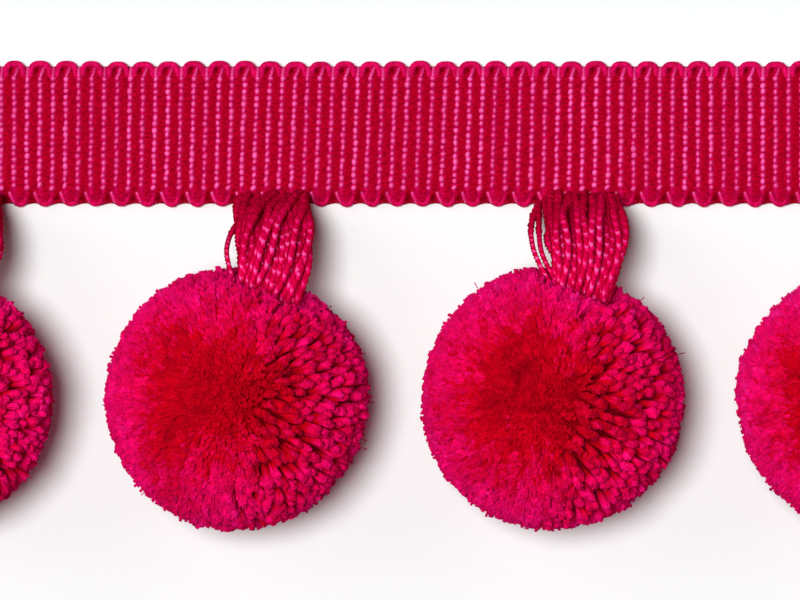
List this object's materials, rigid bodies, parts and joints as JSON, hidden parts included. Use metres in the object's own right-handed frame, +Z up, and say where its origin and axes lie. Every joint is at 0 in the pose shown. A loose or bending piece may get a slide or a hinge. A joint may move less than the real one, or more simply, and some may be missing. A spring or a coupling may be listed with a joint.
{
  "type": "pompom fringe trim",
  "caption": "Cut length of ribbed braid trim with a row of cut-pile pompoms hanging from loose yarn skeins, lying flat.",
  "frame": {"origin": "centre of the bounding box at the surface that the trim lies on", "axes": "+X along the braid, +Y from the pompoms to the braid's plain edge, +Z up from the surface"},
  "size_m": [0.121, 0.0449, 0.025],
  "materials": {
    "braid_yarn": "ribbed braid of matte crimson yarn crossed by a shiny pink thread",
    "skein_yarn": "shiny two-ply yarn",
    "pompom_pile": "soft cut pile"
  },
  "bodies": {
    "root": {"braid": "braid_yarn", "skein_1": "skein_yarn", "skein_2": "skein_yarn", "skein_3": "skein_yarn", "skein_4": "skein_yarn", "pompom_1": "pompom_pile", "pompom_2": "pompom_pile", "pompom_3": "pompom_pile", "pompom_4": "pompom_pile"}
  },
  "joints": []
}
